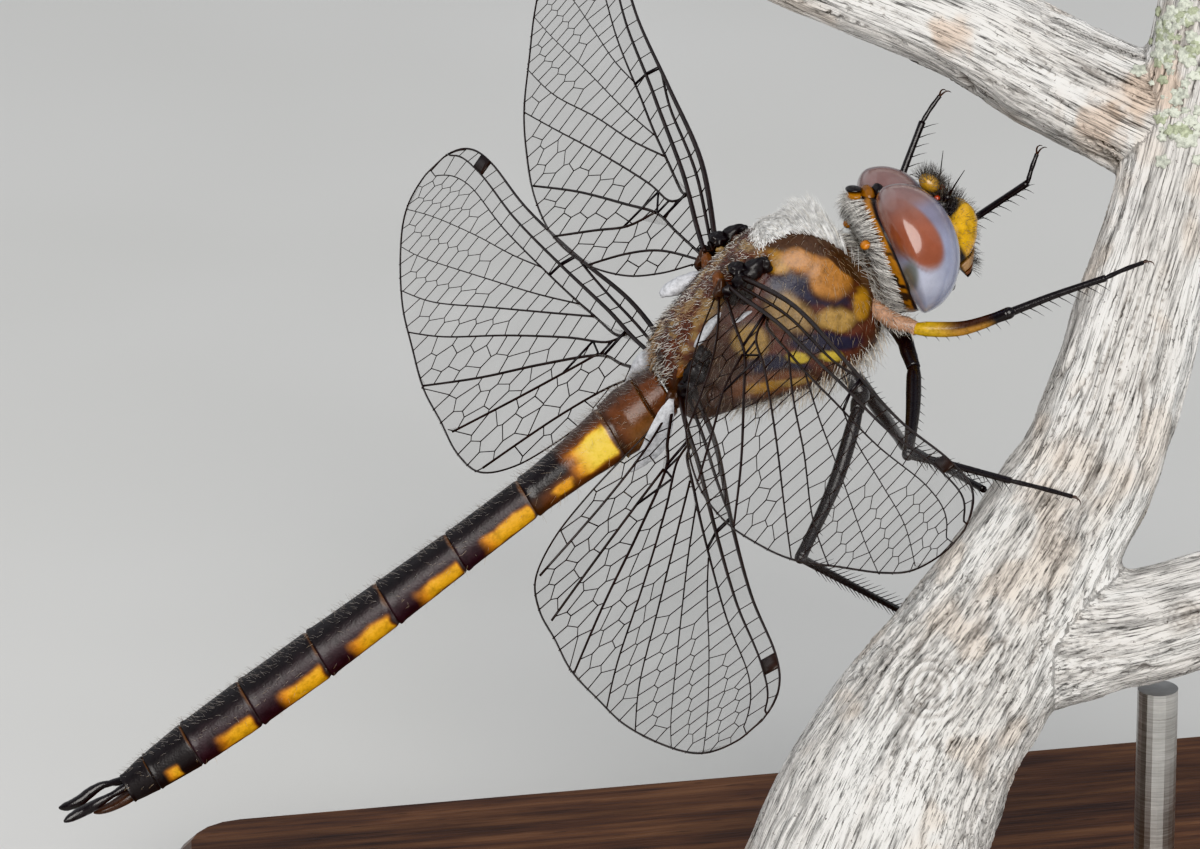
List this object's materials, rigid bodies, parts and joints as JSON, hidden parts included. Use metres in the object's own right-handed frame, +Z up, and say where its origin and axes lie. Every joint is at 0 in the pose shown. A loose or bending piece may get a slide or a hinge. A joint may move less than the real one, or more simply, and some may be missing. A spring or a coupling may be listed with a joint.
{
  "type": "baskettail dragonfly on a perch",
  "caption": "Life-size still dragonfly gripping a cut length of weathered branch, held above a flat base by two short rods.",
  "frame": {"origin": "middle of the stand base's underside", "axes": "+X the way the dragonfly heads, +Y its left, +Z up"},
  "size_m": [0.0579, 0.0668, 0.0419],
  "materials": {
    "thorax_shell": "satin hide-like shell under dense pale hair",
    "head_shell": "satin, haired at the rear",
    "face_shell": "glossy golden shell",
    "lower_face_shell": "semi-gloss brown shell with dark hairs",
    "compound_eye": "polished, terracotta above and mauve grey round it",
    "leg_shell": "semi-gloss black shell with fine spines",
    "abdomen_shell": "glossy black shell with orange side patches",
    "tail_shell": "semi-gloss black",
    "wing_membrane": "clear, faintly smoky film",
    "wing_vein": "dark brown veins",
    "hair": "fine pale hair",
    "dark_hair": "short dark hair",
    "bark": "weathered silver-grey wood, cracked along the grain",
    "base_wood": "dark oiled hardwood",
    "rod_steel": "brushed"
  },
  "bodies": {
    "root": {"abdomen_01": "abdomen_shell", "abdomen_02": "abdomen_shell", "abdomen_03": "abdomen_shell", "abdomen_04": "abdomen_shell", "abdomen_05": "abdomen_shell", "abdomen_06": "abdomen_shell", "abdomen_07": "abdomen_shell", "abdomen_08": "abdomen_shell", "abdomen_09": "abdomen_shell", "abdomen_10": "abdomen_shell", "antenna_left": "leg_shell", "antenna_right": "leg_shell", "cercus_left": "tail_shell", "cercus_right": "tail_shell", "clypeus": "lower_face_shell", "epiproct": "tail_shell", "eye_left": "compound_eye", "eye_right": "compound_eye", "forewing_left": "wing_membrane", "forewing_right": "wing_membrane", "frons": "face_shell", "head_capsule": "head_shell", "hindwing_left": "wing_membrane", "hindwing_right": "wing_membrane", "labrum": "lower_face_shell", "leg_fore_left_femur": "leg_shell", "leg_fore_left_tarsus": "leg_shell", "leg_fore_left_tibia": "leg_shell", "leg_fore_right_femur": "leg_shell", "leg_fore_right_tarsus": "leg_shell", "leg_fore_right_tibia": "leg_shell", "leg_hind_left_femur": "leg_shell", "leg_hind_left_tarsus": "leg_shell", "leg_hind_left_tibia": "leg_shell", "leg_hind_right_femur": "leg_shell", "leg_hind_right_tarsus": "leg_shell", "leg_hind_right_tibia": "leg_shell", "leg_mid_left_femur": "leg_shell", "leg_mid_left_tarsus": "leg_shell", "leg_mid_left_tibia": "leg_shell", "leg_mid_right_femur": "leg_shell", "leg_mid_right_tarsus": "leg_shell", "leg_mid_right_tibia": "leg_shell", "mandibles": "lower_face_shell", "perch_main": "bark", "perch_stub": "bark", "perch_upper": "bark", "prothorax": "thorax_shell", "stand_base": "base_wood", "stand_collar_main": "rod_steel", "stand_collar_prop": "rod_steel", "stand_rod_main": "rod_steel", "stand_rod_prop": "rod_steel", "thorax": "thorax_shell", "vertex": "face_shell"}
  },
  "joints": []
}
